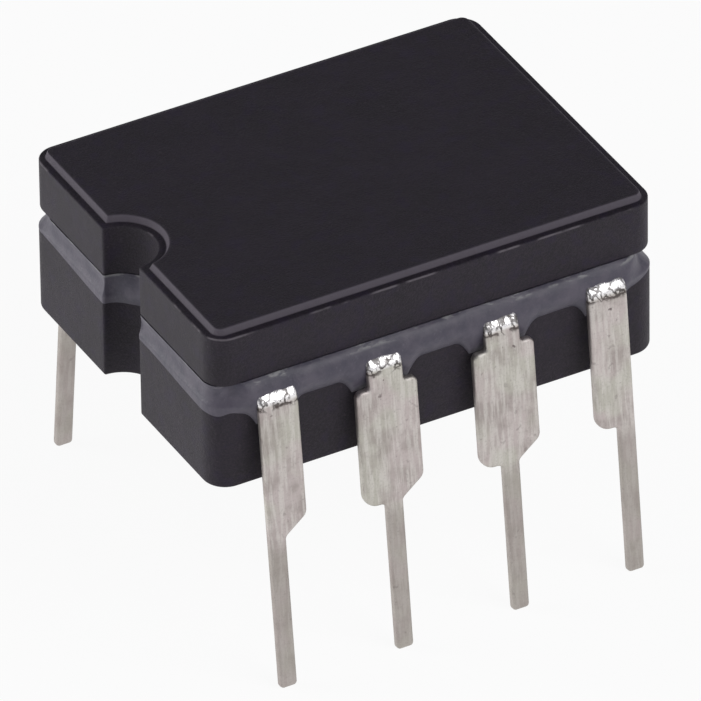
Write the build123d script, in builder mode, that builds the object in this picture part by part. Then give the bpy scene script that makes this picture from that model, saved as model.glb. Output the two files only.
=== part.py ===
"""Eight-lead frit-seal ceramic dual in-line package, with its die and bond wires.

Millimetres. The leads' tips stand on z = 0, the origin is under the middle of the
body, +Z is up, and the notch that marks pin 1's end is at -X. Pins 1 to 4 run along
the -Y side from the notch, and pins 5 to 8 run back along the +Y side.
"""

from build123d import *
from math import cos, radians, sin, tan
import os

# Rows of leads
pitch = 2.54
pins_per_row = 4

# Ceramic body
end_margin = 1.04  # middle of an end lead to the end of the base
body_width = 7.42  # base, across the rows
base_thickness = 1.87
lid_thickness = 1.23
lid_inset = 0.04  # the lid is smaller than the base by this on each side
seal_thickness = 0.45  # glass between base and lid
corner_radius = 0.50  # upright corners of base and lid
base_edge_break = 0.06  # chamfer round both faces of the base
lid_step = 0.15  # height of the raised panel on top of the lid
lid_ledge = 0.12  # level ledge round that panel
notch_radius = 0.72

# Die chamber, half in the base and half in the lid
chamber_end_wall = 2.75  # end of the base to the chamber
chamber_side_wall = 2.11  # long side of the base to the chamber
chamber_corner_radius = 0.30
base_cavity_depth = 0.45
lid_cavity_depth = 0.40
glass_setback = 0.35  # the glass and the lid's cavity stop this far outside the chamber

# Leads
lead_thickness = 0.20
tip_width = 0.36
shoulder_width = 1.32
neck_width = 0.74
below_seat = 3.25  # narrow part of a lead, under the seating plane
standoff = 1.08  # seating plane to the underside of the base
neck_length = 0.41  # top face of the base down to the shoulders
lead_gap = 0.075  # base's side to a lead's inner face, level with the base's top
splay = 6.3  # degrees that each leg leans outwards
bend_inside = 0.10  # inside radius of the bend over the base's edge
frame_lift = 0.03  # glass under the leads, over the base
shoulder_corner = 0.32  # lower corner of a rounded shoulder
sheared_corner = 0.20  # lower corner of a sheared shoulder
sheared_rise = 0.36  # climb of a sheared shoulder from the tip to its corner
shoulder_root = 0.13  # inside corner between tip and shoulder
upper_corner = 0.14  # top corner of a shoulder
upper_root = 0.07  # inside corner between shoulder and neck
outer_share = 0.68  # the most of an edge that its outer corner may take
inner_share = 0.28  # and its inner corner

# Fingers, the leads' flat inner ends between base and lid
root_length = 0.55  # full width of a lead inside the base's side
finger_width = 0.60
finger_straight = 1.60  # base's side to where a finger turns
finger_elbow = 0.50  # glass's inner edge to where a finger straightens
finger_inside = 0.08  # inside radius of a finger's turns
middle_turn = 0.45  # share of a middle finger's run, from its elbow to its turn
finger_reach = 0.30  # bare length inside the glass
end_finger_y = 1.00
middle_finger_x = 0.90

# Glass that wells out along the rows of leads
bulge = 0.16  # beyond the base's long sides
creep = 0.22  # down the base's long sides, below its top face
tongue_drop = 0.34  # further down, behind each lead
tongue_spread = 0.22  # beyond each edge of a lead's root

# Die and its connections
die_length = 2.00
die_width = 1.60
die_thickness = 0.38
attach_thickness = 0.03
attach_margin = 0.08
pad_inset = 0.16  # die's edge to the middle of a row of pads
middle_pad_x = 0.45
wire_diameter = 0.032
wire_foot = 0.12  # length that lies flat on each bond
wire_loop = 0.16  # rise above the higher bond
wire_bend = 0.08
wire_rise = 0.35  # share of a wire's span from the die to the start of its crown
wire_fall = 0.30  # share from the end of its crown to the finger

# Levels and places that follow from the sizes above
row_length = pitch * (pins_per_row - 1)
body_length = row_length + 2 * end_margin
chamber_length = body_length - 2 * chamber_end_wall
chamber_width = body_width - 2 * chamber_side_wall
base_z = below_seat + standoff
seal_z = base_z + base_thickness
lid_z = seal_z + seal_thickness
frame_z = seal_z + frame_lift
frame_mid_z = frame_z + lead_thickness / 2
frame_top_z = frame_z + lead_thickness
shoulder_z = seal_z - neck_length
side_y = body_width / 2
root_y = side_y - root_length
turn_y = side_y - finger_straight
opening_length = chamber_length + 2 * glass_setback
opening_width = chamber_width + 2 * glass_setback
lid_length = body_length - 2 * lid_inset
lid_width = body_width - 2 * lid_inset
lid_corner = corner_radius - lid_inset
ledge_z = lid_z + lid_thickness - lid_step
half_tip = tip_width / 2
half_shoulder = shoulder_width / 2
half_neck = neck_width / 2
die_z = seal_z - base_cavity_depth + attach_thickness
die_top_z = die_z + die_thickness

# A leg's middle line leans out from the base and ends with its inner corner on z = 0
lean = radians(splay)
leg_y = side_y + lead_gap + lead_thickness / (2 * cos(lean))
bend_y = leg_y - tan(lean) * (frame_mid_z - seal_z)
foot_z = sin(lean) * lead_thickness / 2
foot_y = leg_y + tan(lean) * (seal_z - foot_z)


def notched_outline(length, width, height, radius, inset=0):
    """A level rounded rectangle with the index notch cut from its -X end, and the
    whole outline moved in by the inset."""
    with BuildSketch(Plane.XY.offset(height)) as plan:
        RectangleRounded(length - 2 * inset, width - 2 * inset, radius - inset)
        with Locations((-length / 2, 0)):
            Circle(notch_radius + inset, mode=Mode.SUBTRACT)
    return plan.sketch


def write(part, name):
    """Label a finished piece and write it to its own file."""
    part.label = name
    export_step(part, f"parts/{name}.step")


os.makedirs("parts", exist_ok=True)

# Ceramic base: a pressed block with the die cavity in its top face
with BuildPart() as ceramic_base:
    add(notched_outline(body_length, body_width, base_z, corner_radius))
    extrude(amount=base_thickness)
    chamfer(ceramic_base.faces().filter_by(Axis.Z).edges(), length=base_edge_break)
    with BuildSketch(Plane.XY.offset(seal_z)):
        RectangleRounded(chamber_length, chamber_width, chamber_corner_radius)
    extrude(amount=-base_cavity_depth, mode=Mode.SUBTRACT)
write(ceramic_base.part, "ceramic_base")

# Ceramic lid: the same outline with a raised panel, and a cavity over the wires
with BuildPart() as ceramic_lid:
    add(notched_outline(lid_length, lid_width, lid_z, lid_corner))
    extrude(amount=lid_thickness - lid_step)
    add(notched_outline(lid_length, lid_width, ledge_z, lid_corner, lid_ledge))
    extrude(amount=lid_step)
    with BuildSketch(Plane.XY.offset(lid_z)):
        RectangleRounded(opening_length, opening_width, chamber_corner_radius)
    extrude(amount=lid_cavity_depth, mode=Mode.SUBTRACT)
write(ceramic_lid.part, "ceramic_lid")


def lead_edge(reach, root, sheared):
    """One edge of a lead from the tip up, as (distance from the tip's middle, height,
    corner radius). A shoulder is rounded underneath, or sheared on a slope."""
    edge = [(half_tip, -lead_thickness, 0)]
    ledge = reach - half_tip
    if ledge > 0:
        rise = sheared_rise if sheared else 0
        corner = sheared_corner if sheared else shoulder_corner
        edge.append((half_tip, below_seat, min(shoulder_root, inner_share * ledge)))
        edge.append((reach, below_seat + rise, min(corner, outer_share * ledge)))
    step = reach - root
    if step > 0:
        edge.append((reach, shoulder_z, min(upper_corner, outer_share * step)))
        edge.append((root, shoulder_z, min(upper_root, inner_share * step)))
    edge.append((root, frame_top_z + lead_thickness, 0))
    return edge


def finger_route(root_x, is_end):
    """The middle line of a finger, from inside the base's side to the die chamber."""
    side = -1 if root_x < 0 else 1
    if is_end:
        turn = (root_x, -turn_y)
        elbow = (side * (opening_length / 2 + finger_elbow), -end_finger_y)
        tip = (side * (opening_length / 2 - finger_reach), -end_finger_y)
    else:
        elbow_y = (opening_width + finger_elbow) / 2
        turn = (root_x, -(elbow_y + middle_turn * (root_y - elbow_y)))
        elbow = (side * middle_finger_x, -elbow_y)
        tip = (side * middle_finger_x, -(opening_width / 2 - finger_reach))
    return [(root_x, -root_y), turn, elbow, tip]


def make_lead(index):
    """A lead of the -Y row, counted from the notch: leg, bend and flat finger."""
    is_end = index in (0, pins_per_row - 1)
    pin_x = index * pitch - row_length / 2
    left_reach = half_tip if index == 0 else half_shoulder
    right_reach = half_tip if index == pins_per_row - 1 else half_shoulder
    left_root = left_reach if is_end else half_neck
    right_root = right_reach if is_end else half_neck
    root_x = pin_x + (right_root - left_root) / 2
    left_edge = [(pin_x - d, z, r) for d, z, r in lead_edge(left_reach, left_root, False)]
    right_edge = [(pin_x + d, z, r) for d, z, r in lead_edge(right_reach, right_root, True)]
    corners = left_edge + right_edge[::-1]

    with BuildPart() as lead:
        # Bent strip, as wide as the shoulders
        with BuildSketch(Plane.YZ.offset(pin_x - half_shoulder)):
            with BuildLine():
                FilletPolyline(
                    (-root_y, frame_mid_z),
                    (-bend_y, frame_mid_z),
                    (-foot_y, foot_z),
                    radius=bend_inside + lead_thickness / 2,
                )
            trace(line_width=lead_thickness)
        extrude(amount=shoulder_width)
        # Its edges, cut to the lead's outline
        with BuildSketch(Plane.XZ):
            with BuildLine():
                FilletPolyline(
                    [(x, z) for x, z, _ in corners],
                    radius=[r for _, _, r in corners],
                    close=True,
                )
            make_face()
        extrude(amount=foot_y + lead_thickness, mode=Mode.INTERSECT)
        # Flat finger to the die chamber
        with BuildSketch(Plane.XY.offset(frame_z)):
            with BuildLine():
                FilletPolyline(
                    finger_route(root_x, is_end),
                    radius=finger_inside + finger_width / 2,
                )
            trace(line_width=finger_width)
        extrude(amount=lead_thickness)
    return lead.part


# Leads 1 to 4, and 5 to 8 as the same four turned half round
front_row = [make_lead(index) for index in range(pins_per_row)]
back_row = [lead.rotate(Axis.Z, 180) for lead in front_row]
leads = front_row + back_row
for number, lead in enumerate(leads, start=1):
    write(lead, f"lead_{number}")

# Glass that wells out along the -Y row: a bulge, and a tongue behind each lead
run = body_length - 2 * corner_radius
hem_z = seal_z - creep
with BuildPart() as row_glass:
    with BuildSketch(Plane.YZ.offset(-run / 2)):
        with BuildLine():
            ThreePointArc(
                (-lid_width / 2, lid_z),
                (-side_y - bulge, frame_mid_z),
                (-side_y, hem_z),
            )
            Polyline(
                (-side_y, hem_z),
                (-root_y, hem_z),
                (-root_y, lid_z),
                (-lid_width / 2, lid_z),
            )
        make_face()
    extrude(amount=run)
    with BuildSketch(Plane.XZ.offset(root_y)):
        for index in range(pins_per_row):
            pin_x = index * pitch - row_length / 2
            with BuildLine():
                Polyline(
                    (pin_x - half_neck - tongue_spread, frame_z),
                    (pin_x - half_neck, hem_z - tongue_drop),
                    (pin_x + half_neck, hem_z - tongue_drop),
                    (pin_x + half_neck + tongue_spread, frame_z),
                    close=True,
                )
            make_face()
    extrude(amount=root_length + lead_gap + lead_thickness / 2)

# Sealing glass: a ring round the die chamber that fits the base, the lid and the leads
with BuildPart() as seal_glass:
    add(notched_outline(lid_length, lid_width, seal_z, lid_corner))
    extrude(amount=seal_thickness)
    add(row_glass.part)
    add(row_glass.part.rotate(Axis.Z, 180))
    with BuildSketch(Plane.XY.offset(seal_z)):
        RectangleRounded(opening_length, opening_width, chamber_corner_radius)
    extrude(amount=seal_thickness, mode=Mode.SUBTRACT)
    add(ceramic_base.part, mode=Mode.SUBTRACT)
    add(leads, mode=Mode.SUBTRACT)
write(seal_glass.part, "seal_glass")

# Die attach: the thin layer that bonds the die to the cavity's floor
with BuildPart() as die_attach:
    with BuildSketch(Plane.XY.offset(die_z - attach_thickness)):
        Rectangle(die_length + 2 * attach_margin, die_width + 2 * attach_margin)
    extrude(amount=attach_thickness)
write(die_attach.part, "die_attach")

# Silicon die
with BuildPart() as die:
    with BuildSketch(Plane.XY.offset(die_z)):
        Rectangle(die_length, die_width)
    extrude(amount=die_thickness)
write(die.part, "die")


def make_wire(index):
    """A bond wire from the die to a -Y finger: a flat foot on each, and a loop between."""
    is_end = index in (0, pins_per_row - 1)
    side = -1 if index < pins_per_row / 2 else 1
    if is_end:
        pad_x = die_length / 2 - pad_inset
        bond_x = opening_length / 2 - finger_reach / 2
        bond_y = end_finger_y
    else:
        pad_x = middle_pad_x
        bond_x = middle_finger_x
        bond_y = opening_width / 2 - finger_reach / 2
    pad = Vector(side * pad_x, pad_inset - die_width / 2, die_top_z + wire_diameter / 2)
    bond = Vector(side * bond_x, -bond_y, frame_top_z + wire_diameter / 2)
    along = Vector(bond.X - pad.X, bond.Y - pad.Y, 0)
    foot = along.normalized() * wire_foot
    crown = max(pad.Z, bond.Z) + wire_loop
    rise = pad + along * wire_rise
    fall = bond - along * wire_fall
    with BuildPart() as wire:
        with BuildLine() as route:
            FilletPolyline(
                pad,
                pad + foot,
                Vector(rise.X, rise.Y, crown),
                Vector(fall.X, fall.Y, crown),
                bond - foot,
                bond,
                radius=wire_bend,
            )
        with BuildSketch(Plane(origin=route.line @ 0, z_dir=route.line % 0)):
            Circle(wire_diameter / 2)
        sweep()
    return wire.part


# Bond wires 1 to 4, and 5 to 8 turned half round with their leads
front_wires = [make_wire(index) for index in range(pins_per_row)]
back_wires = [wire.rotate(Axis.Z, 180) for wire in front_wires]
for number, wire in enumerate(front_wires + back_wires, start=1):
    write(wire, f"bond_wire_{number}")
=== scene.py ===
# %% [markdown]
# # An eight-lead ceramic dual in-line package
#
# The real part is two blocks of pressed black ceramic, fused together by a ring of grey
# glass. Eight flat tinned leads come out of the glass and bend down over the long sides.
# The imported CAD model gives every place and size. This script keeps the pieces that nobody
# sees from outside (die, attach layer and bond wires) as they are, and draws the ceramic,
# the glass and the leads again as worked-out surfaces with softer and truer edges.

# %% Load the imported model
import math

import bpy
import numpy as np
from mathutils import Matrix, Vector


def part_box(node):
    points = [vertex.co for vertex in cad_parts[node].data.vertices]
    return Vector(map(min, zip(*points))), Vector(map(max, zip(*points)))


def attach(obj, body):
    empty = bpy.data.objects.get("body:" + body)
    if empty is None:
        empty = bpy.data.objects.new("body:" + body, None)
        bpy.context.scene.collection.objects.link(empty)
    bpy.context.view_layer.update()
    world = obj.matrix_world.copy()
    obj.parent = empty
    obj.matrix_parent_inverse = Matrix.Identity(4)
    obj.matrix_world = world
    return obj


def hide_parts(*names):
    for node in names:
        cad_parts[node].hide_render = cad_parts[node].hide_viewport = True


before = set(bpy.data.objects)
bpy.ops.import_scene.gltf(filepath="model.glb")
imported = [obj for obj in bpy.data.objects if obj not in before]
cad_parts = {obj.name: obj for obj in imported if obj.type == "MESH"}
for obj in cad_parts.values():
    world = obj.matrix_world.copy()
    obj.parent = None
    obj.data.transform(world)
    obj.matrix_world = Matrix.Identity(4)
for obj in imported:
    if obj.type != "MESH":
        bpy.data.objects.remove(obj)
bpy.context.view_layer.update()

MM = 0.001

# %% [markdown]
# ## Sizes
#
# Levels and lengths come from the boxes of the CAD nodes, so they follow the model when it
# changes. The few radii and clearances that a box can't tell are named here once, in
# millimetres, as a pattern maker would write them on a drawing.

# %% Read the levels, and name the radii
base_low, base_high = (np.array(corner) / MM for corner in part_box("ceramic_base"))
lid_low, lid_high = (np.array(corner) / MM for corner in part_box("ceramic_lid"))
# The drawn base is this much shorter at each end, which leaves room for a film of glass.
GLAZE = 0.01
base_half = base_high[:2] - (GLAZE, 0)
lid_half = lid_high[:2]
BASE_Z, SEAL_Z, LID_Z, TOP_Z = base_low[2], base_high[2], lid_low[2], lid_high[2]

CORNER = 0.50
LID_CORNER = 0.46
NOTCH = 0.72
NOTCH_LIP = 0.05
CHAMBER_HALF = (2.10, 1.60)
OPENING_HALF = (2.45, 1.95)
CHAMBER_CORNER = 0.30
BASE_CAVITY, LID_CAVITY = 0.45, 0.40
print(f"base {base_half * 2}, lid {lid_half * 2}")
print(f"seal {SEAL_Z:.2f} to {LID_Z:.2f}, top {TOP_Z:.2f}")

# %% [markdown]
# ## Two curve tools
#
# Nearly every edge here is a run of straight lines with rounded corners: the profile of the
# lid, the outline of a lead. One tool makes them all. A weighted quadratic curve is an exact
# circular arc, and unlike a centre and an angle it doesn't break down where a corner is
# straight, so a radius of zero is allowed.

# %% Rounded lines and smooth steps
SINES = 9


def rounded_path(points, radii, arc_steps=6, run_steps=2):
    """A line through corner points, each inner corner replaced by a circular arc. With t the
    turn at a corner, the arc starts radius * tan(t / 2) before it and ends as far after it.
    The arc is the weighted mean of start, corner and end, with weights (1-u)^2,
    2u(1-u)cos(t/2) and u^2. Each straight run between arcs is divided evenly."""
    points = np.asarray(points, float)
    run = np.diff(points, axis=0)
    run = run / np.linalg.norm(run, axis=1, keepdims=True)
    turn = np.arccos(np.clip((run[:-1] * run[1:]).sum(1), -1, 1))
    reach = (np.asarray(radii, float) * np.tan(turn / 2))[:, None]
    corner = points[1:-1]
    start, end = corner - run[:-1] * reach, corner + run[1:] * reach
    u = np.linspace(0, 1, arc_steps)[None, :, None]
    weights = (1 - u) ** 2, 2 * u * (1 - u) * np.cos(turn / 2)[:, None, None], u**2
    arcs = sum(w * p[:, None] for w, p in zip(weights, (start, corner, end))) / sum(weights)
    run_from = np.vstack([points[:1], end])
    run_to = np.vstack([start, points[-1:]])
    v = np.linspace(0, 1, run_steps + 2)[None, :, None]
    runs = run_from[:, None] * (1 - v) + run_to[:, None] * v
    pieces = [runs[0][:-1]]
    for arc, straight in zip(arcs, runs[1:]):
        pieces += [arc, straight[1:-1]]
    return np.vstack(pieces + [points[-1:]])


def ease(x, low, high):
    """0 below low, 1 above high, and 3t^2 - 2t^3 between them."""
    t = np.clip((x - low) / (high - low), 0, 1)
    return t * t * (3 - 2 * t)


def ripple(x, y, waves, seed):
    """A smooth irregular field from -1 to 1: the mean of SINES sine waves, stretched and cut
    off at 1, whose directions, lengths and phases are drawn from a seeded generator. waves is
    the mean number of cycles per mm."""
    draw = np.random.default_rng(seed)
    angle, phase = draw.uniform(0, 2 * np.pi, (2, SINES))
    pace = 2 * np.pi * waves * draw.uniform(0.5, 1.5, SINES)
    field = x[..., None] * np.cos(angle) * pace + y[..., None] * np.sin(angle) * pace + phase
    return np.clip(np.sin(field).mean(-1) * 1.8, -1, 1)


square_corner = rounded_path([(0, 0), (3, 0), (3, 3)], [1], 3, 0)
print("a square corner of radius 1:", square_corner.round(3).tolist())

# %% [markdown]
# ## From grids of points to a mesh
#
# A surface is a grid of points, and each cell of the grid is one face. A grid may close on
# itself sideways (a ring) and lengthways (a tyre), or end in a pole. Doubled points are
# merged, and the faces are turned round if the enclosed volume comes out negative, so every
# piece is closed and faces outwards. Points that carry a pattern get a vector attribute.

# %% Build a piece from grids
MERGE = 1e-5


def cells(rows, columns, first, wrap_rows, wrap_columns):
    """Corner numbers of each cell of a grid whose points are numbered row by row."""
    number = first + np.arange(rows * columns).reshape(rows, columns)
    if wrap_rows:
        number = np.vstack([number, number[:1]])
    if wrap_columns:
        number = np.hstack([number, number[:, :1]])
    corners = number[:-1, :-1], number[:-1, 1:], number[1:, 1:], number[1:, :-1]
    return np.stack(corners, -1).reshape(-1, 4)


def build_piece(name, grids, sharp_angle=50):
    """A mesh object from (points, pattern, wrap_rows, wrap_columns) grids in millimetres.
    Points that round to the same multiple of MERGE millimetres count as one. The volume is
    the sum over all triangles of a . (b x c) / 6, positive when the faces look outwards."""
    places, patterns, faces, count = [], [], [], 0
    for points, pattern, wrap_rows, wrap_columns in grids:
        rows, columns = points.shape[:2]
        places.append(points.reshape(-1, 3))
        patterns.append(np.broadcast_to(pattern, points.shape).reshape(-1, 3))
        faces.append(cells(rows, columns, count, wrap_rows, wrap_columns))
        count += rows * columns
    places, patterns, faces = np.vstack(places), np.vstack(patterns), np.vstack(faces)
    grid_key = np.round(places / MERGE).astype(np.int64)
    _, keep, merged = np.unique(grid_key, axis=0, return_index=True, return_inverse=True)
    faces = merged.reshape(-1)[faces]
    corners = places[keep]
    triangles = np.vstack([faces[:, [0, 1, 2]], faces[:, [0, 2, 3]]])
    first, second, third = corners[triangles].swapaxes(0, 1)
    volume = np.einsum("ij,ij->", first, np.cross(second, third)) / 6
    if volume < 0:
        faces = faces[:, ::-1]
    rows = [list(dict.fromkeys(face)) for face in faces.tolist()]
    mesh = bpy.data.meshes.new(name)
    mesh.from_pydata((corners * MM).tolist(), [], [row for row in rows if len(row) > 2])
    mesh.attributes.new("pattern", "FLOAT_VECTOR", "POINT").data.foreach_set(
        "vector", patterns[keep].astype(np.float32).ravel()
    )
    mesh.validate()
    mesh.shade_smooth()
    mesh.set_sharp_from_angle(angle=math.radians(sharp_angle))
    piece = bpy.data.objects.new(name, mesh)
    bpy.context.scene.collection.objects.link(piece)
    print(f"{name}: {len(mesh.polygons)} faces, {abs(volume):.3f} mm3")
    return piece


def place_piece(piece, node, material):
    """Give a finished piece its body and its finish, and hide the CAD node it stands for."""
    piece.data.materials.append(material)
    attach(piece, "root")
    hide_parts(node)


# %% [markdown]
# ## Shader maths as Python
#
# A finish is a small tree of nodes. Wiring them by hand hides the idea, so a number socket is
# wrapped in a class whose operators add the Math nodes: `1 - mask * 0.3` reads as it works.
# Every other node comes from one method, which takes its type, its settings and its sockets.

# %% A small language for finishes
class Signal:
    """A number socket that adds Math nodes when it is used in an expression."""

    def __init__(self, finish, socket):
        self.finish, self.socket = finish, socket

    def math(self, operation, first, second):
        sockets = {"Value": first, "Value_001": second}
        node = self.finish.node("ShaderNodeMath", {"operation": operation}, sockets)
        return Signal(self.finish, node.outputs[0])

    def __add__(self, other):
        return self.math("ADD", self, other)

    def __sub__(self, other):
        return self.math("SUBTRACT", self, other)

    def __rsub__(self, other):
        return self.math("SUBTRACT", other, self)

    def __mul__(self, other):
        return self.math("MULTIPLY", self, other)

    def absolute(self):
        return self.math("ABSOLUTE", self, 0.0)

    def above(self, low, high):
        """0 below low, 1 above high, smooth between."""
        sockets = {"Value": self, "From Min": low, "From Max": high}
        settings = {"interpolation_type": "SMOOTHSTEP"}
        return Signal(self.finish, self.finish.node("ShaderNodeMapRange", settings, sockets).outputs[0])

    __radd__, __rmul__ = __add__, __mul__


class Wiring:
    """Adds and joins the nodes of one tree, of a material or of the world."""

    def __init__(self, tree):
        self.tree = tree

    def node(self, kind, settings, sockets):
        """Add a node: its settings first, then a value or a link for each named socket."""
        node = self.tree.nodes.new(kind)
        for key, value in settings.items():
            setattr(node, key, value)
        self.wire(node, sockets)
        return node

    def wire(self, node, sockets):
        """Put a value on each named socket, or a link to it."""
        by_name = {socket.identifier: socket for socket in node.inputs}
        for key, value in sockets.items():
            source = value.socket if isinstance(value, Signal) else value
            if isinstance(source, bpy.types.NodeSocket):
                self.tree.links.new(source, by_name[key])
            else:
                by_name[key].default_value = source

    def place(self, attribute=None, scale=(1, 1, 1)):
        """Coordinates in millimetres: the object's own, or those in an attribute."""
        if attribute:
            settings = {"attribute_name": attribute}
            source = self.node("ShaderNodeAttribute", settings, {}).outputs["Vector"]
            return self.mapped(source, Scale=scale)
        source = self.node("ShaderNodeTexCoord", {}, {}).outputs["Object"]
        return self.mapped(source, Scale=[value / MM for value in scale])

    def mapped(self, place, **sockets):
        """Coordinates moved by Location and stretched by Scale."""
        return self.node("ShaderNodeMapping", {}, {"Vector": place, **sockets}).outputs[0]

    def noise(self, place, scale, detail=3.0, roughness=0.55):
        """A cloudy field around 0.5, with about scale lumps to the millimetre."""
        sockets = {"Vector": place, "Scale": scale, "Detail": detail, "Roughness": roughness}
        return Signal(self, self.node("ShaderNodeTexNoise", {}, sockets).outputs[0])

    def split(self, place, axis):
        """One of the three numbers of a vector."""
        return Signal(self, self.node("ShaderNodeSeparateXYZ", {}, {"Vector": place}).outputs[axis])

    def mix(self, factor, first, second):
        """The first colour where factor is 0, and the second where it is 1."""
        sockets = {"Factor_Float": factor, "A_Color": first, "B_Color": second}
        node = self.node("ShaderNodeMix", {"data_type": "RGBA"}, sockets)
        return [s for s in node.outputs if s.identifier == "Result_Color"][0]

    def bump(self, height, distance):
        """A normal tilted by a height field of so many millimetres."""
        sockets = {"Height": height, "Distance": distance * MM}
        return self.node("ShaderNodeBump", {}, sockets).outputs[0]


class Finish(Wiring):
    """A material under construction, on one Principled shader."""

    def __init__(self, name):
        self.material = bpy.data.materials.new(name)
        self.material.use_nodes = True
        super().__init__(self.material.node_tree)
        self.shader = self.tree.nodes["Principled BSDF"]


def colour(red, green, blue):
    """A colour written as it would look on a plain card, 0 to 255, made linear."""
    share = np.array([red, green, blue]) / 255
    linear = np.where(share <= 0.04045, share / 12.92, ((share + 0.055) / 1.055) ** 2.4)
    return (*linear.tolist(), 1.0)


print("mid grey card in linear light:", round(colour(128, 128, 128)[0], 4))

# %% [markdown]
# ## Black pressed alumina
#
# The blocks are pressed from dark oxide powder and fired. Close up they are not flat black:
# the surface is finely granular, a little uneven in tone, with grey dust on the grains. An
# image could be wrapped round them, but grain worked out from noise in the object's own
# millimetres has no seams at the corners and holds at any distance. The lid's mesh carries a
# pattern: its first number is 1 on the slope of the raised panel, which gets a painted
# highlight, and its second is 1 on the outer rim, where broken patches of painted highlight
# are laid.

# %% Ceramic finish
def make_ceramic(name):
    """Dark body, then grain, grey specks and a violet cast, then painted highlight on the lid."""
    finish = Finish(name)
    here = finish.place()
    grain = finish.noise(here, 26.0, 4.0, 0.7)
    patches = finish.noise(here, 0.9, 3.0, 0.6)
    specks = finish.noise(here, 9.0, 2.0, 0.5).above(0.66, 0.78)
    body = finish.mix(patches.above(0.3, 0.7), colour(31, 25, 36), colour(26, 22, 29))
    grainy = finish.mix(grain.above(0.38, 0.68) * 0.75, body, colour(52, 44, 54))
    tone = finish.mix(specks * 0.5, grainy, colour(66, 58, 66))
    violet = finish.noise(here, 3.2, 2.0, 0.5).above(0.5, 0.72)
    tone = finish.mix(violet * 0.35, tone, colour(38, 28, 54))
    # Painted highlight: the first number of the lid's pattern lightens the riser, and the second,
    # broken into patches by noise, lightens the top of the outer rim.
    wear_and_painted_highlight = finish.place("pattern")
    rim_highlight_patches = finish.noise(here, 1.1, 3.0, 0.6).above(0.50, 0.62) * 0.7
    tone = finish.mix(finish.split(wear_and_painted_highlight, 0), tone, colour(92, 86, 95))
    tone = finish.mix(finish.split(wear_and_painted_highlight, 1) * rim_highlight_patches, tone, colour(120, 114, 120))
    height = grain + finish.noise(here, 4.0, 2.0, 0.5) * 0.8
    finish.wire(finish.shader, {
        "Base Color": tone,
        "Roughness": 0.50 + grain * 0.12 + patches * 0.06,
        "Specular IOR Level": 0.31,
        "Normal": finish.bump(height, 0.018),
    })
    return finish.material


base_finish = make_ceramic("black_alumina_base")
lid_finish = make_ceramic("black_alumina_lid")
print("ceramic finishes:", base_finish.name, lid_finish.name)

# %% [markdown]
# ## The plan of the blocks
#
# Base and lid share one plan: a rectangle with round corners and a half-round notch in its
# left end. Every level of a block is that same plan, only pushed inwards, so the plan is a
# function of the inset. Pushing it in makes the round corners tighter and the notch wider.
# Only half is worked out; the other half is its mirror image.

# %% Plan curves
COUNTS = {"notch": 22, "lip": 5, "end": 18, "corner": 12, "side": 60}
TIGHTEN = 1.5
LEAST_LIP, LEAST_CORNER = 0.02, 0.06


def half_to_ring(half):
    """Close a half plan, which runs from the notch to the right end along -Y, by adding its
    mirror image in reverse order."""
    mirror = half[-2:0:-1] * (1, -1)
    return np.vstack([half, mirror])


def arc(centre, radius, start, stop, count):
    """centre + radius * (cos, sin) of evenly spaced angles."""
    angle = np.linspace(start, stop, count)
    return np.asarray(centre) + radius * np.column_stack([np.cos(angle), np.sin(angle)])


def line(start, stop, count):
    """Evenly spaced points from start to stop."""
    return np.linspace(start, stop, count)


def plan(half, corner, inset=0.0, counts=COUNTS):
    """The notched plan pushed in by inset. The notch grows to radius + inset, and its lip is a
    small arc that touches both the notch's circle and the end face. A corner's radius falls
    by TIGHTEN times the inset, faster than in a true offset, so the panel's corners are sharp."""
    a, b = half[0] - inset, half[1] - inset
    radius, lip = NOTCH + inset, max(NOTCH_LIP - inset, LEAST_LIP)
    round_ = max(corner - TIGHTEN * inset, LEAST_CORNER)
    centre = np.array([-half[0], 0.0])
    lip_y = math.sqrt((radius + lip) ** 2 - (inset + lip) ** 2)
    lip_angle = math.atan2(lip_y, inset + lip)
    return half_to_ring(np.vstack([
        arc(centre, radius, 0, -lip_angle, counts["notch"]),
        arc((-a + lip, -lip_y), lip, math.pi - lip_angle, math.pi, counts["lip"])[1:],
        line((-a, -lip_y), (-a, round_ - b), counts["end"])[1:],
        arc((-a + round_, round_ - b), round_, math.pi, 1.5 * math.pi, counts["corner"])[1:],
        line((-a + round_, -b), (a - round_, -b), counts["side"])[1:],
        arc((a - round_, round_ - b), round_, 1.5 * math.pi, 2 * math.pi, counts["corner"])[1:],
        line((a, round_ - b), (a, 0), counts["end"])[1:],
    ]))


def inner_plan(half, corner, counts=COUNTS):
    """A plain rounded rectangle with as many points as the notched plan, in the same order."""
    a, b = half
    facing_notch = counts["notch"] + counts["lip"] - 1
    near_corner = 0.8 * (corner - b)
    return half_to_ring(np.vstack([
        line((-a, 0), (-a, near_corner), facing_notch),
        line((-a, near_corner), (-a, corner - b), counts["end"])[1:],
        arc((-a + corner, corner - b), corner, math.pi, 1.5 * math.pi, counts["corner"])[1:],
        line((-a + corner, -b), (a - corner, -b), counts["side"])[1:],
        arc((a - corner, corner - b), corner, 1.5 * math.pi, 2 * math.pi, counts["corner"])[1:],
        line((a, corner - b), (a, 0), counts["end"])[1:],
    ]))


def at_level(ring, z):
    """Lift a plan curve to a level."""
    return np.column_stack([ring, np.full(len(ring), z)])


def pole(point, count):
    """A ring shrunk to one point."""
    return np.tile(np.asarray(point, float), (count, 1))


print("points round the plan:", len(plan(base_half, CORNER)))

# %% [markdown]
# ## Base and lid
#
# A block is a stack of rings: from the middle of its underside out to the edge, up the side
# along a profile, and back in over the top. The die chamber is in the same skin. Pressed
# parts have no knife edges, so each break of the profile is a small arc. The lid's top is a
# raised panel with a narrow ledge round it, which is what draws the light and dark lines
# along its edges, helped by painted highlight on the riser and the rim.

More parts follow.
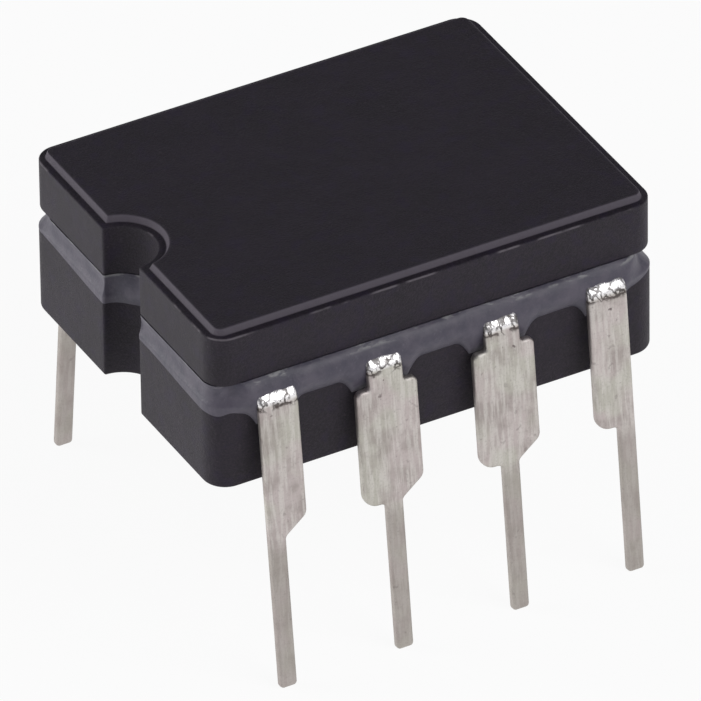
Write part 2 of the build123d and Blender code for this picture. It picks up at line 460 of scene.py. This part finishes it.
# %% Base
def block_rings(half, corner, profile):
    """One ring for each (inset, level) of the profile."""
    return [at_level(plan(half, corner, inset), z) for inset, z in profile]


EDGE = 0.07
LAND = 0.16
base_profile = rounded_path(
    [(LAND, BASE_Z), (0, BASE_Z), (0, SEAL_Z), (LAND, SEAL_Z)],
    [EDGE, EDGE], arc_steps=7, run_steps=3,
)
chamber = inner_plan(CHAMBER_HALF, CHAMBER_CORNER)
points_round = len(chamber)
base_rings = (
    [pole((0, 0, BASE_Z), points_round), at_level(chamber, BASE_Z)]
    + block_rings(base_half, CORNER, base_profile)
    + [at_level(chamber, SEAL_Z), at_level(chamber, SEAL_Z - BASE_CAVITY)]
    + [pole((0, 0, SEAL_Z - BASE_CAVITY), points_round)]
)
ceramic_base = build_piece("visual_ceramic_base", [(np.stack(base_rings), (0, 0, 0), False, True)])
place_piece(ceramic_base, "ceramic_base", base_finish)

# %% Lid
# BREAKS are the radii of the profile's corners, from the underside up to the panel.
LEDGE, RISER, STEP = 0.155, 0.05, 0.125
RIM = 0.07
BREAKS = (0.05, 0, 0.03, 0.025, 0.03)
panel = LEDGE + RISER
lid_profile = rounded_path(
    [
        (LAND, LID_Z), (0, LID_Z), (0, TOP_Z - STEP - RIM), (0, TOP_Z - STEP),
        (LEDGE, TOP_Z - STEP), (panel, TOP_Z), (panel + LAND, TOP_Z),
    ],
    BREAKS, arc_steps=6, run_steps=3,
)
opening = inner_plan(OPENING_HALF, CHAMBER_CORNER)
lid_rings = (
    [pole((0, 0, LID_Z + LID_CAVITY), points_round), at_level(opening, LID_Z + LID_CAVITY)]
    + [at_level(opening, LID_Z)]
    + block_rings(lid_half, LID_CORNER, lid_profile)
    + [at_level(opening, TOP_Z), pole((0, 0, TOP_Z), points_round)]
)
lid_points = np.stack(lid_rings)
above_ledge = lid_points[..., 2] - (TOP_Z - STEP)
from_side = np.array([0, 0, 0, *lid_profile[:, 0], 1, 1])[:, None] * np.ones(points_round)
# This pattern marks painted highlight: the riser and the upper band of the outer rim are painted
# lighter in the lid's finish.
on_riser = ease(from_side, LEDGE - 0.02, LEDGE + 0.01)
on_riser = on_riser * (1 - ease(from_side, panel - 0.008, panel + 0.03))
on_rim = (1 - ease(from_side, 0.012, 0.035)) * ease(above_ledge, -0.045, -0.015)
lid_pattern = np.stack([on_riser, on_rim, 0 * on_rim], -1)
ceramic_lid = build_piece("visual_ceramic_lid", [(lid_points, lid_pattern, False, True)])
place_piece(ceramic_lid, "ceramic_lid", lid_finish)

# %% [markdown]
# ## Leads
#
# A lead is stamped flat from a strip and then bent, so it is drawn the same way: a flat
# blank with a left and a right edge, given by corners with radii, and then wrapped along the
# bend. Wrapping a drawn blank keeps the outline true where it runs over the bend, which
# cutting a bent strip would not. Across the strip the two faces end in rounded edges.

# %% Lead sizes and the path of the bend
PITCH, PINS = 2.54, 4
THICK = 0.20
SPLAY = math.radians(6.3)
GAP = 0.075
# The lead frame lies a little above the base, in the glass. BEND is the radius of the strip's
# middle: an inner radius of half the thickness, plus half the thickness.
FRAME_Z = SEAL_Z + 0.03 + THICK / 2
BEND = 0.10 + THICK / 2
BELOW, SHOULDER_Z = 3.25, SEAL_Z - 0.41
HALF_TIP, HALF_SHOULDER, HALF_NECK = 0.18, 0.66, 0.37
SIDE_Y = base_half[1]
ROOT = SIDE_Y - 0.55
SOFT = 0.07

leg_y = SIDE_Y + GAP + THICK / (2 * math.cos(SPLAY))
corner_y = leg_y - math.tan(SPLAY) * (FRAME_Z - SEAL_Z)
sweep = math.pi / 2 - SPLAY
bend_start = corner_y - BEND * math.tan(sweep / 2)
bend_end = bend_start + BEND * sweep
leg_top = FRAME_Z - BEND * (1 - math.cos(sweep))
foot_level = math.sin(SPLAY) * THICK / 2


def along_leg(z):
    """Distance along the strip of a level on the leg: the leg leans, so a drop in level is
    divided by the cosine of the lean."""
    return bend_end + (leg_top - z) / math.cos(SPLAY)


def wrap(x, s, depth):
    """Put a point of the blank in space. s runs out from the middle of the body: straight to
    the bend, round it, then straight down the leg. depth is measured along the strip's
    normal, outwards."""
    angle = np.clip((s - bend_start) / BEND, 0, sweep)
    flat, leg = np.minimum(s, bend_start), np.maximum(s - bend_end, 0)
    y = flat + BEND * np.sin(angle) + leg * math.cos(sweep) + depth * np.sin(angle)
    z = FRAME_Z - BEND * (1 - np.cos(angle)) - leg * math.sin(sweep) + depth * np.cos(angle)
    return np.stack([x, -y, z], -1)


print(f"bend from {bend_start:.3f} to {bend_end:.3f} mm along the strip")

# %% Outline of a blank
# A finger's middle line runs through two points, given from the package's middle along and
# out, turns in line with the lead at a third distance out, and goes on to the root.
END_ROUTE = ((2.15, 1.00), (2.95, 1.00), 2.11)
MIDDLE_ROUTE = ((0.90, 1.65), (0.90, 2.20), 2.632)
FINGER = 0.30
MITRE_ROUND, ROOT_ROUND, ROOT_RUN = 0.08, 0.15, 0.30
NECK_ROUND, SHOULDER_ROUND, FOOT_ROUND, TIP_ROUND = 0.07, 0.14, 0.13, 0.08
SHEARED_ROUND, SHEARED_RISE = 0.20, 0.36
STAMPED_ROUND = 0.32


def finger_edges(pin_x, root_x, is_end):
    """Left and right edge of the finger, from the die chamber to the root: its middle line
    moved sideways by half its width, with mitred corners. At a mitre the shift is the sum of
    the two runs' normals divided by one plus their dot product."""
    side = -1 if pin_x < 0 else 1
    first, second, turn_y = END_ROUTE if is_end else MIDDLE_ROUTE
    mirror = np.array([side, 1])
    route = np.array([first * mirror, second * mirror, (root_x, turn_y), (root_x, ROOT)])
    run = np.diff(route, axis=0)
    run = run / np.linalg.norm(run, axis=1, keepdims=True)
    normal = np.column_stack([-run[:, 1], run[:, 0]])
    before, after = np.vstack([normal[:1], normal]), np.vstack([normal, normal[-1:]])
    shift = (before + after) / (1 + (before * after).sum(1, keepdims=True)) * FINGER
    return route + shift, route - shift


def leg_edge(reach, root, sheared):
    """One edge of the leg from the root down to the tip's middle, as (distance from the pin's
    middle, distance along the strip) and corner radii. A shoulder is rounded underneath, or
    sheared on a slope."""
    past_tip, past_neck = reach > HALF_TIP, reach > root
    rise_to_neck = 0 if past_neck else 0.05
    rise = (SHEARED_RISE if sheared else 0.0) if past_tip else 0.3
    corners = [
        (root, ROOT + ROOT_RUN),
        (root, along_leg(SHOULDER_Z + rise_to_neck)),
        (reach, along_leg(SHOULDER_Z)),
        (reach, along_leg(BELOW + rise)),
        (HALF_TIP, along_leg(BELOW)),
        (HALF_TIP, along_leg(foot_level)),
        (HALF_TIP - TIP_ROUND, along_leg(foot_level)),
    ]
    radii = [
        ROOT_ROUND,
        NECK_ROUND if past_neck else 0,
        SHOULDER_ROUND if past_neck else 0,
        (SHEARED_ROUND if sheared else STAMPED_ROUND) if past_tip else 0,
        FOOT_ROUND if past_tip else 0,
        TIP_ROUND,
    ]
    return corners, radii


def blank(index):
    """The two edges of a lead's blank, as rows of (x, s), matched point for point."""
    is_end = index in (0, PINS - 1)
    pin_x = (index - (PINS - 1) / 2) * PITCH
    reach_left = HALF_TIP if index == 0 else HALF_SHOULDER
    reach_right = HALF_TIP if index == PINS - 1 else HALF_SHOULDER
    root_left = reach_left if is_end else HALF_NECK
    root_right = reach_right if is_end else HALF_NECK
    root_x = pin_x + (root_right - root_left) / 2
    edges = []
    sides = ((-1, reach_left, root_left, False), (1, reach_right, root_right, True))
    for finger, (sign, reach, root, sheared) in zip(finger_edges(pin_x, root_x, is_end), sides):
        corners, radii = leg_edge(reach, root, sheared)
        leg = [(pin_x + sign * distance, s) for distance, s in corners]
        radii = [MITRE_ROUND, MITRE_ROUND, ROOT_ROUND, *radii]
        edges.append(rounded_path([*finger, *leg], radii, arc_steps=9, run_steps=7))
    return edges


left, right = blank(1)
widest = float((right - left)[:, 0].max())
print("rows of a blank:", len(left), "width at the shoulders:", round(widest, 3))

# %% Rounded section and solder ripple
ACROSS = 16
EDGE_STEPS = 5
BEND_LUMPS, FLAT_LUMPS = 0.016, 0.0025


def inward(edge, sign):
    """Unit normals of an edge curve that point into the blank. Where points coincide there is
    no slope, so the last normal before them is kept."""
    slope = np.gradient(edge, axis=0)
    length = np.linalg.norm(slope, axis=1)
    last = np.maximum.accumulate(np.where(length > 1e-9, np.arange(len(edge)), 0))
    normal = np.column_stack([slope[:, 1], -slope[:, 0]]) * -sign
    return normal[last] / length[last, None]


def lead_grids(index, seed):
    """The skin of a lead. Each row of the grid runs round the strip: across the outer face,
    round the right edge, back across the inner face and round the left edge. An edge is a
    quarter circle of radius SOFT on each side of a short flat. Two more grids close the ends,
    the first of them mirrored so that it also faces outwards."""
    left, right = blank(index)
    normal_left, normal_right = inward(left, -1), inward(right, 1)
    turn = np.linspace(np.pi / 2, 0, EDGE_STEPS)
    pull = SOFT * (1 - np.cos(turn))
    lift = THICK / 2 - SOFT + SOFT * np.sin(turn)
    pull, lift = np.concatenate([pull, pull[::-1]]), np.concatenate([lift, -lift[::-1]])
    side_right = right[:, None] + normal_right[:, None] * pull[None, :, None]
    side_left = left[:, None] + normal_left[:, None] * pull[None, ::-1, None]
    share = np.linspace(0, 1, ACROSS)[None, 1:-1, None]
    face_left, face_right = left + normal_left * SOFT, right + normal_right * SOFT
    face = face_left[:, None] * (1 - share) + face_right[:, None] * share
    ring = np.concatenate([face, side_right, face[:, ::-1], side_left], 1)
    depth = np.concatenate([
        np.full(ACROSS - 2, THICK / 2), lift, np.full(ACROSS - 2, -THICK / 2), lift[::-1]
    ])
    depth = np.broadcast_to(depth, ring.shape[:2])
    share = np.linspace(0, 1, ACROSS)[None, :, None]
    caps = []
    for row in (0, -1):
        flat = side_left[row, ::-1][:, None] * (1 - share) + side_right[row][:, None] * share
        flat = flat[:, ::-1] if row == 0 else flat
        caps.append((flat, np.broadcast_to(lift[:, None], flat.shape[:2])))
    grids = []
    for flat, out in [(ring, depth), *caps]:
        x, s = flat[..., 0], flat[..., 1]
        on_bend = ease(s, bend_start + 0.02, bend_start + 0.10)
        on_bend = on_bend * (1 - ease(s, bend_end - 0.02, bend_end + 0.14))
        lumps = on_bend * BEND_LUMPS * (1 + ripple(x, s, 2.6, seed))
        lumps = lumps + FLAT_LUMPS * (1 + ripple(x, s, 0.8, seed + 1))
        out = out - np.sign(out) * lumps * (s > ROOT)
        pattern = np.stack([x - (index - (PINS - 1) / 2) * PITCH, s, out], -1)
        grids.append((wrap(x, s, out), pattern, False, flat is ring))
    return grids


front_grids = [lead_grids(index, 10 * index) for index in range(PINS)]
print("points in one lead's skin:", front_grids[0][0][0].shape[:2])

# %% [markdown]
# ## Tinned finish
#
# The leads are dipped in solder after sealing. On the flats the coat is dull, pale grey with
# faint warm and greenish stains, fine drag lines down the strip and a few dark pits. On the
# bend it is thick, bright and wrinkled. Just below the bend a broken dark line of painted
# shade stands where the strip turns away from the light. The pattern follows the blank: the
# finish reads the blank's own coordinates (across, along, depth) from the mesh's attribute,
# so the lines run round the bend with the metal.

# %% Solder finish
def between(signal, start, full, fall, end):
    """A band: 0 up to start, 1 from full to fall, and 0 again from end."""
    return signal.above(start, full) * (1 - signal.above(fall, end))


def make_solder(name, offset):
    """offset moves the pattern along, so that no two leads wear the same stains."""
    finish = Finish(name)
    blank_place = finish.place("pattern")
    along = finish.split(blank_place, 1)
    moved = finish.mapped(blank_place, Location=(offset, offset * 3, 0))
    drawn = finish.mapped(moved, Scale=(9.0, 0.9, 4.0))
    streaks = finish.noise(drawn, 1.6, 4.0, 0.6)
    clouds = finish.noise(moved, 1.5, 3.0, 0.6)
    stains = finish.noise(moved, 0.9, 2.0, 0.5)
    grain = finish.noise(moved, 22.0, 3.0, 0.65)
    wrinkle = finish.noise(moved, 3.7, 3.0, 0.6)
    bend = between(along, bend_start + 0.02, bend_start + 0.08, bend_end - 0.04, bend_end + 0.03)
    rim = between(along, bend_end - 0.05, bend_end + 0.02, bend_end + 0.04, bend_end + 0.16)
    vein = 1 - (wrinkle - 0.5).absolute().above(0.015, 0.06)
    blots = finish.noise(moved, 4.2, 3.0, 0.65).above(0.57, 0.64)
    # Painted shade: a broken dark band just below the bend, where the strip turns away from the light.
    frayed = along + (finish.noise(moved, 6.0, 2.0, 0.5) - 0.5) * 0.16
    shade = between(frayed, bend_end + 0.02, bend_end + 0.04, bend_end + 0.06, bend_end + 0.10)
    shade = shade * finish.noise(moved, 3.0, 2.0, 0.5).above(0.42, 0.5)
    pits = finish.noise(moved, 5.5, 2.0, 0.5).above(0.66, 0.73)
    upper = 1 - along.above(bend_end + 0.2, bend_end + 1.0)
    narrow = along.above(along_leg(BELOW + 0.1), along_leg(BELOW - 0.4))
    dull = finish.mix(stains.above(0.42, 0.58), colour(192, 182, 180), colour(188, 185, 176))
    wear_and_painted_highlight = finish.mix(clouds.above(0.42, 0.66) * 0.7, dull, colour(160, 151, 147))
    lined = finish.mix(streaks.above(0.40, 0.64) * 0.55, wear_and_painted_highlight, colour(218, 214, 209))
    lined = finish.mix(narrow * 0.55, lined, colour(158, 150, 145))
    lined = finish.mix(grain.above(0.5, 0.7) * 0.25, lined, colour(136, 130, 126))
    marked = finish.mix(pits * (0.25 + 0.6 * upper), lined, colour(96, 84, 84))
    coated = finish.mix(bend, marked, colour(238, 236, 236))
    # The rim term here is painted shade just below the bend, broken into lines by the veins.
    dark = vein * (bend * 0.75 + rim * wrinkle.above(0.42, 0.5) * 0.8)
    veined_and_shaded = finish.mix(dark, coated, colour(70, 64, 62))
    veined_and_shaded = finish.mix(blots * bend * 0.8, veined_and_shaded, colour(96, 92, 90))
    veined_and_shaded = finish.mix(shade * 0.8, veined_and_shaded, colour(84, 76, 74))
    height = streaks * 0.35 + grain * 0.25 + wrinkle * bend * 2.4
    finish.wire(finish.shader, {
        "Base Color": veined_and_shaded,
        "Metallic": 1.0,
        "Roughness": 0.46 + streaks * 0.14 - bend * 0.26 + vein * bend * 0.2,
        "Normal": finish.bump(height, 0.012),
    })
    return finish.material


solder_finishes = [
    make_solder(f"tinned_lead_{number}", 1.7 * number) for number in range(1, 2 * PINS + 1)
]
print("solder finishes:", len(solder_finishes))

# %% Place the eight leads
def half_turn(points):
    """Turn points half round the upright axis, as the back row lies to the front row."""
    return points * (-1, -1, 1)


for number in range(1, 2 * PINS + 1):
    grids = front_grids[(number - 1) % PINS]
    if number > PINS:
        grids = [(half_turn(points), pattern, *wraps) for points, pattern, *wraps in grids]
    lead = build_piece(f"visual_lead_{number}", grids)
    place_piece(lead, f"lead_{number}", solder_finishes[number - 1])

# %% [markdown]
# ## Sealing glass
#
# The glass was a paste that melted and was squeezed out as the lid settled. Along the two
# long sides it bulges, creeps down over the base's edge in scallops between the leads, and
# hangs in a tongue behind each one. At the ends it is drawn in between the blocks, and at
# three of the corners it is tucked in under the lid. The ring is one tyre-shaped grid: round
# the plan one way, and round its section the other way. Its outer skin runs from the lid's
# lower edge to the hem. Above the base's top face it moves evenly from the lid's plan to the
# base's, and a bulge or a hollow is added along the plan's normal.

# %% Glass ring
GLASS_COUNTS = {"notch": 40, "lip": 7, "end": 60, "corner": 26, "side": 300}
BULGE, HOLLOW = 0.155, 0.05
HEM, TONGUE, END_HEM = 0.22, 0.34, 0.03
SCALLOP_REACH, SCALLOP_RUN = 0.26, 0.32
NOTCH_BULGE, NOTCH_RUN, BACK_RUN, FRONT_RUN = 0.10, 0.07, 0.14, 0.10
SKIN = 0.003
SEAT_INSET, LID_INSET = 0.002, 0.004
TUCK = 0.24
OUTER_STEPS = 30


def lead_spans():
    """Left and right limit of each front lead at its shoulders."""
    spans = []
    for index in range(PINS):
        pin_x = (index - (PINS - 1) / 2) * PITCH
        spans.append((
            pin_x - (HALF_TIP if index == 0 else HALF_SHOULDER),
            pin_x + (HALF_TIP if index == PINS - 1 else HALF_SHOULDER),
        ))
    return spans


def hem_drop(ring):
    """How far the hem hangs under the base's top face. Between leads it is even; towards a
    lead it falls by the square of the nearness, which leaves a round scallop."""
    x = np.where(ring[:, 1] < 0, ring[:, 0], -ring[:, 0])
    fall = np.zeros(len(ring))
    for low, high in lead_spans():
        beyond = np.abs(x - (low + high) / 2) - (high - low) / 2
        fall = np.maximum(fall, np.clip((SCALLOP_REACH - beyond) / SCALLOP_RUN, 0, 1) ** 2)
    return HEM * (1 + 0.08 * ripple(x, ring[:, 1], 0.5, 71)) + TONGUE * fall


lid_plan = plan(lid_half, LID_CORNER, 0, GLASS_COUNTS)
base_plan = plan(base_half, CORNER, 0, GLASS_COUNTS)
slope = np.roll(base_plan, -1, 0) - np.roll(base_plan, 1, 0)
out_of_plan = np.column_stack([slope[:, 1], -slope[:, 0]])
out_of_plan = out_of_plan / np.linalg.norm(slope, axis=1, keepdims=True)

# %% Where the glass is full, drawn in or run down
x, y = base_plan.T
far_x, far_y = np.abs(x), np.abs(y)
long_side = ease(far_y, base_half[1] - 0.42, base_half[1] - 0.02)
fullness = long_side * (1 - ease(far_x, base_half[0] - 0.85, base_half[0] - 0.25))
in_notch = (x < 0) * (1 - ease(far_y, NOTCH - 0.25, NOTCH + 0.10))
left_end = ease(-x, base_half[0] - 0.5, base_half[0] - 0.1)
climb = 0.012 * (1 + ripple(x, y, 0.45, 5))

# Down the left end the glass has run lower towards the notch, and again towards the front.
back_run = BACK_RUN * ease(-y, -3.4, -0.5) * (1 - 0.6 * ease(-y, -0.6, 0.2))
front_run = FRONT_RUN * ease(-y, 0.9, 3.3)
run_down = NOTCH_RUN * in_notch + back_run + front_run
run_down = run_down * ease(-x, base_half[0] - 1.2, base_half[0] - 0.75)

# At the corners, apart from the front left one, the glass is tucked in under the lid.
near_end = ease(far_x, base_half[0] - 0.7, base_half[0] - 0.2)
at_corner = near_end * ease(far_y, base_half[1] - 0.85, base_half[1] - 0.3)
tucked = at_corner * (1 - left_end * (y < 0))
hem_z = SEAL_Z - hem_drop(base_plan) * long_side * (1 - 0.7 * tucked)
hem_z = hem_z - (END_HEM + run_down) * (1 - long_side)
top_xy = lid_plan + (SKIN - TUCK * tucked[:, None]) * out_of_plan
top_z = LID_Z + climb * (1 - tucked)
print("glass hem from", round(float(hem_z.min()), 3), "to", round(float(hem_z.max()), 3))

# %% Skin of the ring
share = np.linspace(0, 1, OUTER_STEPS)[:, None]
skin_z = top_z * (1 - share) + hem_z * share
sunk = np.clip((top_z - skin_z) / (top_z - SEAL_Z), 0, 1)
base_xy = base_plan + SKIN * out_of_plan
skin_xy = top_xy * (1 - sunk[..., None]) + base_xy * sunk[..., None]
swell = np.sin(np.pi * share**0.85) ** 0.75 * BULGE * fullness
swell = swell + NOTCH_BULGE * np.sin(np.pi * share) * in_notch
swell = swell - np.sin(np.pi * sunk) * HOLLOW * (1 - fullness) * (1 - in_notch)
swell = swell * (1 + 0.05 * ripple(x + 0 * share, y + 2 * share, 0.6, 9))
outer = np.concatenate([skin_xy + swell[..., None] * out_of_plan, skin_z[..., None]], -1)

seat = at_level(base_plan - SEAT_INSET * out_of_plan, SEAL_Z)
opening_plan = inner_plan(OPENING_HALF, CHAMBER_CORNER, GLASS_COUNTS)
under_lid = at_level(lid_plan - (TUCK * tucked[:, None] + LID_INSET) * out_of_plan, LID_Z)
hidden = [seat, at_level(opening_plan, SEAL_Z), at_level(opening_plan, LID_Z), under_lid]
ring_points = np.concatenate([outer, np.stack(hidden)])
down = np.concatenate([share[:, 0], [1, 1, 0, 0]])[:, None] * np.ones(len(base_plan))
glass_pattern = np.stack([down, 0 * down, 0 * down], -1)
seal_glass = build_piece("visual_seal_glass", [(ring_points, glass_pattern, True, True)])

# %% [markdown]
# ## Glass finish
#
# Sealing glass is filled with powder, so it isn't clear: it looks like grey-blue porcelain,
# slightly mottled, with a soft shine. Along the lid's lower edge there are pale broken
# streaks where it tore off the ceramic as it cooled. The attribute's first number runs from
# 0 at the lid to 1 at the hem and places them.

# %% Glass material
glass = Finish("sealing_glass")
here = glass.place()
from_lid = glass.split(glass.place("pattern"), 0)
mottle = glass.noise(here, 2.6, 4.0, 0.6)
fine = glass.noise(here, 14.0, 3.0, 0.6)
torn = glass.noise(glass.place(scale=(1.0, 1.0, 3.0)), 2.2, 3.0, 0.6).above(0.5, 0.62)
edge_line = (1 - from_lid.above(0.03, 0.12)) * torn
milky = glass.mix(mottle.above(0.32, 0.7), colour(66, 63, 77), colour(86, 81, 93))
speckled = glass.mix(fine.above(0.55, 0.75) * 0.3, milky, colour(110, 106, 116))
glass.wire(glass.shader, {
    "Base Color": glass.mix(edge_line * 0.7, speckled, colour(150, 150, 150)),
    "Roughness": 0.40 + fine * 0.12,
    "Normal": glass.bump(fine + mottle * 1.5, 0.008),
})
place_piece(seal_glass, "seal_glass", glass.material)
print("glass finish:", glass.material.name)

# %% [markdown]
# ## The pieces inside
#
# The die, its attach layer and the wires can't be seen from outside, but the model can be
# opened. Their CAD shapes are right as they are, so they only get finishes: polished
# silicon with a grid of dark cells, gold that has alloyed unevenly, and drawn aluminium.

# %% Silicon, attach layer and wires
def make_silicon():
    """Bluish grey, crossed by a grid of paler tracks between dark cells."""
    finish = Finish("silicon")
    here = finish.place()
    settings, sockets = {"distance": "CHEBYCHEV"}, {"Vector": here, "Scale": 7.0}
    cell = finish.node("ShaderNodeTexVoronoi", settings, sockets)
    tracks = Signal(finish, cell.outputs["Distance"]).above(0.30, 0.42)
    haze = finish.noise(here, 3.0)
    base = finish.mix(haze, colour(92, 98, 118), colour(118, 112, 134))
    finish.wire(finish.shader, {
        "Base Color": finish.mix(tracks * 0.6, base, colour(168, 158, 150)),
        "Metallic": 0.6,
        "Roughness": 0.22 + haze * 0.12,
        "Normal": finish.bump(tracks, 0.002),
    })
    return finish.material


def make_metal(name, dark, light, rough, grain_scale):
    """A metal whose colour and roughness vary together with its grain."""
    finish = Finish(name)
    here = finish.place()
    grain = finish.noise(here, grain_scale, 3.0)
    finish.wire(finish.shader, {
        "Base Color": finish.mix(grain.above(0.3, 0.7), dark, light),
        "Metallic": 1.0,
        "Roughness": rough + grain * 0.2,
        "Normal": finish.bump(grain, 0.003),
    })
    return finish.material


def refinish(node, material):
    """Give a CAD mesh a material in place of its plain one."""
    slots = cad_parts[node].data.materials
    slots.clear()
    slots.append(material)


refinish("die", make_silicon())
gold = make_metal("gold_attach", colour(176, 132, 66), colour(222, 184, 108), 0.30, 8.0)
refinish("die_attach", gold)
wire_finish = make_metal("aluminium_wire", colour(176, 178, 182), colour(214, 216, 220), 0.25, 30.0)
for number in range(1, 2 * PINS + 1):
    refinish(f"bond_wire_{number}", wire_finish)
print("inner pieces finished:", 2 + 2 * PINS)

# %% [markdown]
# ## Floor, light and camera
#
# The part stands on a white floor that fades into white. The lamps stay at a level where
# colours render as they are written, and the white comes from the floor's own glow, which
# only the camera and the reflections see, so it adds no light. A share of the plain lit
# floor is kept in the mix, and with it the part's soft shadow.

# %% Floor and world
FLOOR_HALF = 1.0
floor_mesh = bpy.data.meshes.new("floor")
corners = [(FLOOR_HALF * sx, FLOOR_HALF * sy, 0) for sx, sy in ((-1, -1), (1, -1), (1, 1), (-1, 1))]
floor_mesh.from_pydata(corners, [], [(0, 1, 2, 3)])
floor = bpy.data.objects.new("floor", floor_mesh)
bpy.context.scene.collection.objects.link(floor)

paper = Finish("white_floor")
paper.tree.nodes.remove(paper.shader)
rays = paper.node("ShaderNodeLightPath", {}, {})
camera_ray, glossy_ray, transmission_ray = (
    Signal(paper, rays.outputs[name])
    for name in ("Is Camera Ray", "Is Glossy Ray", "Is Transmission Ray")
)
seen = camera_ray * 0.93 + glossy_ray + transmission_ray
fibre = paper.noise(paper.place(), 0.05)
card = paper.mix(fibre, (0.88, 0.88, 0.88, 1), (0.92, 0.92, 0.92, 1))
lit = paper.node("ShaderNodeBsdfDiffuse", {}, {"Color": card})
glow = paper.node("ShaderNodeEmission", {}, {"Color": (1, 1, 1, 1), "Strength": 1.0})
sockets = {"Fac": seen, "Shader": lit.outputs[0], "Shader_001": glow.outputs[0]}
both = paper.node("ShaderNodeMixShader", {}, sockets)
paper.wire(paper.tree.nodes["Material Output"], {"Surface": both.outputs[0]})
floor.data.materials.append(paper.material)
print("floor", FLOOR_HALF * 2, "m across")

# %% World
world = bpy.data.worlds.new("studio")
bpy.context.scene.world = world
world.use_nodes = True
sky = Wiring(world.node_tree)
direction = sky.node("ShaderNodeTexCoord", {}, {}).outputs["Generated"]
height = sky.split(direction, 2)
camera_ray = Signal(sky, sky.node("ShaderNodeLightPath", {}, {}).outputs["Is Camera Ray"])
dim = sky.mix(height.above(0.02, 0.42), (0.80, 0.80, 0.82, 1), (0.20, 0.20, 0.22, 1))
background = sky.tree.nodes["Background"]
sky.wire(background, {"Color": sky.mix(camera_ray, dim, (1, 1, 1, 1)), "Strength": 1.0})
print("world: white to the camera, pale at the horizon and dim overhead")

# %% [markdown]
# ## Lamps
#
# Two softboxes do the work: a large one above the front, which the bends of the leads
# mirror, and a weaker one at the left. A lamp's power is worked out from how bright a white
# card facing it should look: power = brightness * pi^2 * distance^2.

# %% Softboxes
middle = Vector((0, 0, (base_low[2] + lid_high[2]) / 2 * MM))


def softbox(name, towards, brightness, size, distance=0.12):
    """An area lamp that faces the part from a direction."""
    lamp = bpy.data.lights.new(name, "AREA")
    lamp.shape = "SQUARE"
    lamp.size = size
    lamp.energy = brightness * math.pi**2 * distance**2
    holder = bpy.data.objects.new(name, lamp)
    towards = Vector(towards).normalized()
    holder.location = middle + towards * distance
    holder.rotation_euler = towards.to_track_quat("Z", "Y").to_euler()
    bpy.context.scene.collection.objects.link(holder)
    print(f"{name}: {lamp.energy:.4f} W")


softbox("front_softbox", (0.37, -0.72, 0.59), 0.42, 0.075)
softbox("left_softbox", (-0.82, 0.52, 0.20), 0.60, 0.070)

# %% [markdown]
# ## Camera
#
# A product view from far away with a long lens, so that parallel edges stay nearly parallel.
# The camera's place is a point in metres; its axes follow from azimuth, elevation and a
# slight roll.

# %% Camera
AZIMUTH, ELEVATION, ROLL = math.radians(-28.361), math.radians(35.307), math.radians(-0.783)
CAMERA_AT = (-0.120513, -0.223467, 0.183493)
LENS, SENSOR = 830.42, 36.0
camera = bpy.data.objects.new("camera", bpy.data.cameras.new("camera"))
camera.data.lens, camera.data.sensor_width = LENS, SENSOR
camera.data.clip_start, camera.data.clip_end = 0.01, 10.0
back = Vector((
    math.sin(AZIMUTH) * math.cos(ELEVATION),
    -math.cos(AZIMUTH) * math.cos(ELEVATION),
    math.sin(ELEVATION),
))
level_right = Vector((math.cos(AZIMUTH), math.sin(AZIMUTH), 0))
level_up = back.cross(level_right)
right_axis = level_right * math.cos(ROLL) + level_up * math.sin(ROLL)
up_axis = level_up * math.cos(ROLL) - level_right * math.sin(ROLL)
camera.matrix_world = Matrix.Translation(CAMERA_AT) @ Matrix(
    (right_axis, up_axis, back)
).transposed().to_4x4()
bpy.context.scene.collection.objects.link(camera)
bpy.context.scene.camera = camera
bpy.context.scene.view_settings.view_transform = "Standard"
print("camera at", [round(value, 4) for value in camera.matrix_world.translation])
